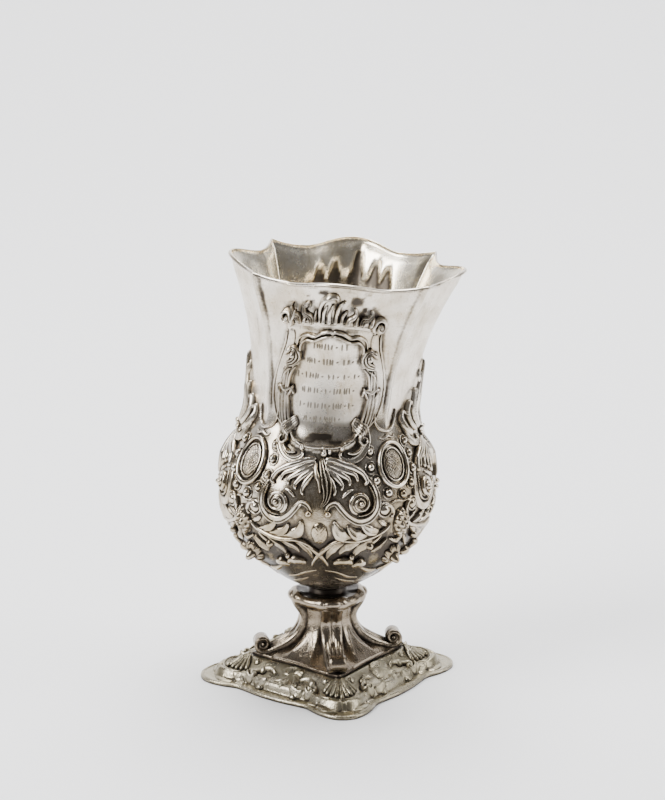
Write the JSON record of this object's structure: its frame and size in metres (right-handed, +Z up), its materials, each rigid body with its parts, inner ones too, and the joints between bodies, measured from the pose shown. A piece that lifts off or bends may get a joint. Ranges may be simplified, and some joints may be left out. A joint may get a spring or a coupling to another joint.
{
  "type": "kiddush cup",
  "caption": "Chased silver goblet with a pear-shaped belly, four-panelled waved mouth, scroll-strapped stem and square serpentine foot.",
  "frame": {"origin": "centre of the foot's underside, on the surface that the cup stands on", "axes": "+Z up the cup; the foot's four corners lie on +X, -X, +Y and -Y; the panel with the main cartouche faces 13 degrees from -Y towards -X"},
  "size_m": [0.0926, 0.0914, 0.153],
  "materials": {
    "bowl_silver": "satin",
    "stem_silver": "satin",
    "foot_silver": "satin"
  },
  "bodies": {
    "root": {"bowl": "bowl_silver", "stem": "stem_silver", "foot": "foot_silver"}
  },
  "joints": []
}
